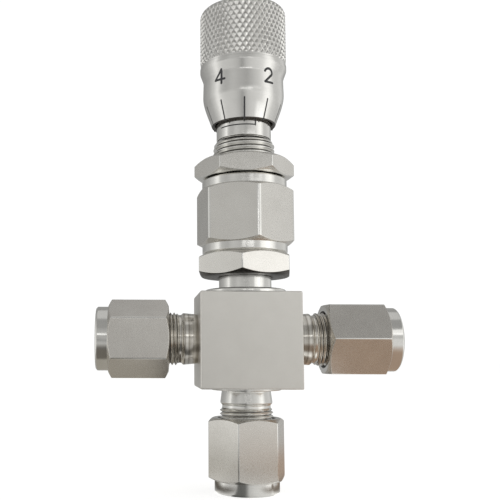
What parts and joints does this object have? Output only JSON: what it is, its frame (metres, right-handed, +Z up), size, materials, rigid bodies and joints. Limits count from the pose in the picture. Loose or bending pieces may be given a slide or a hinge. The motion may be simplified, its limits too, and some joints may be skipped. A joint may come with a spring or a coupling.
{
  "type": "needle valve",
  "caption": "Cross-pattern metering needle valve with a square body, compression tube fittings on its ports, a bonnet nut stack and a graduated, knurled micrometer handle.",
  "frame": {"origin": "centre of the bottom tube nut's outer face, on the valve's upright axis", "axes": "+Z up along the valve's axis to the handle, +X along the right-hand port, -Y to the front of the block"},
  "size_m": [0.0626, 0.0212, 0.1026],
  "materials": {
    "block_steel": "satin ground stainless flats with a fine upright grain, bright turned necks",
    "nut_steel": "satin stainless hexagon flats with bright turned chamfers and collars",
    "warm_nut_steel": "satin stainless with a slightly warm cast",
    "turned_steel": "bright lathe-turned stainless with fine rings",
    "thimble_steel": "bright turned stainless with a diamond knurl and engraved black-filled marks",
    "dark_screw_steel": "dark oxidised steel",
    "ptfe": "waxy white fluoropolymer",
    "marking_ink": "black paint in the engraved marks"
  },
  "bodies": {
    "valve_body": {"body_block": "block_steel", "packing_washer": "turned_steel", "packing_ring_lower": "ptfe", "packing_ring_upper": "ptfe", "packing_gland": "turned_steel", "lock_nut": "nut_steel", "union_nut": "nut_steel", "bonnet": "turned_steel", "panel_nut": "nut_steel", "graduated_sleeve": "turned_steel"},
    "needle": {"needle": "turned_steel"},
    "knob": {"spindle": "turned_steel", "needle_retainer": "turned_steel", "thimble": "thimble_steel", "thimble_set_screw_1": "dark_screw_steel", "thimble_set_screw_2": "dark_screw_steel"},
    "ferrules_left": {"front_ferrule_left": "turned_steel", "rear_ferrule_left": "turned_steel"},
    "nut_left": {"tube_nut_left": "warm_nut_steel"},
    "ferrules_right": {"front_ferrule_right": "turned_steel", "rear_ferrule_right": "turned_steel"},
    "nut_right": {"tube_nut_right": "warm_nut_steel"},
    "ferrules_bottom": {"front_ferrule_bottom": "turned_steel", "rear_ferrule_bottom": "turned_steel"},
    "nut_bottom": {"tube_nut_bottom": "nut_steel"}
  },
  "joints": [
    {"name": "needle_lift", "type": "slide", "parent": "valve_body", "child": "needle", "axis": [0, 0, 1], "range_m": [-0.00112, 0.00388]},
    {"name": "knob_turn", "type": "hinge", "parent": "needle", "child": "knob", "pos_m": [0, 0, 0.0313], "axis": [0, 0, 1], "range_deg": [-804.7, 2795.5]},
    {"name": "nut_travel_left", "type": "slide", "parent": "valve_body", "child": "ferrules_left", "axis": [-1, 0, 0], "range_m": [0, 0.00635]},
    {"name": "nut_turn_left", "type": "hinge", "parent": "ferrules_left", "child": "nut_left", "pos_m": [0, 0, 0.0313], "axis": [-1, 0, 0], "range_deg": [0, 3048.1]},
    {"name": "nut_travel_right", "type": "slide", "parent": "valve_body", "child": "ferrules_right", "axis": [1, 0, 0], "range_m": [0, 0.00635]},
    {"name": "nut_turn_right", "type": "hinge", "parent": "ferrules_right", "child": "nut_right", "pos_m": [0, 0, 0.0313], "axis": [1, 0, 0], "range_deg": [0, 3048.1]},
    {"name": "nut_travel_bottom", "type": "slide", "parent": "valve_body", "child": "ferrules_bottom", "axis": [0, 0, -1], "range_m": [0, 0.00635]},
    {"name": "nut_turn_bottom", "type": "hinge", "parent": "ferrules_bottom", "child": "nut_bottom", "pos_m": [0, 0, 0.0313], "axis": [0, 0, -1], "range_deg": [0, 3048.1]}
  ],
  "couplings": [
    {"joint": "knob_turn", "follows": "needle_lift", "rad_per_m": 12566},
    {"joint": "nut_turn_left", "follows": "nut_travel_left", "rad_per_m": 8377.6},
    {"joint": "nut_turn_right", "follows": "nut_travel_right", "rad_per_m": 8377.6},
    {"joint": "nut_turn_bottom", "follows": "nut_travel_bottom", "rad_per_m": 8377.6}
  ]
}
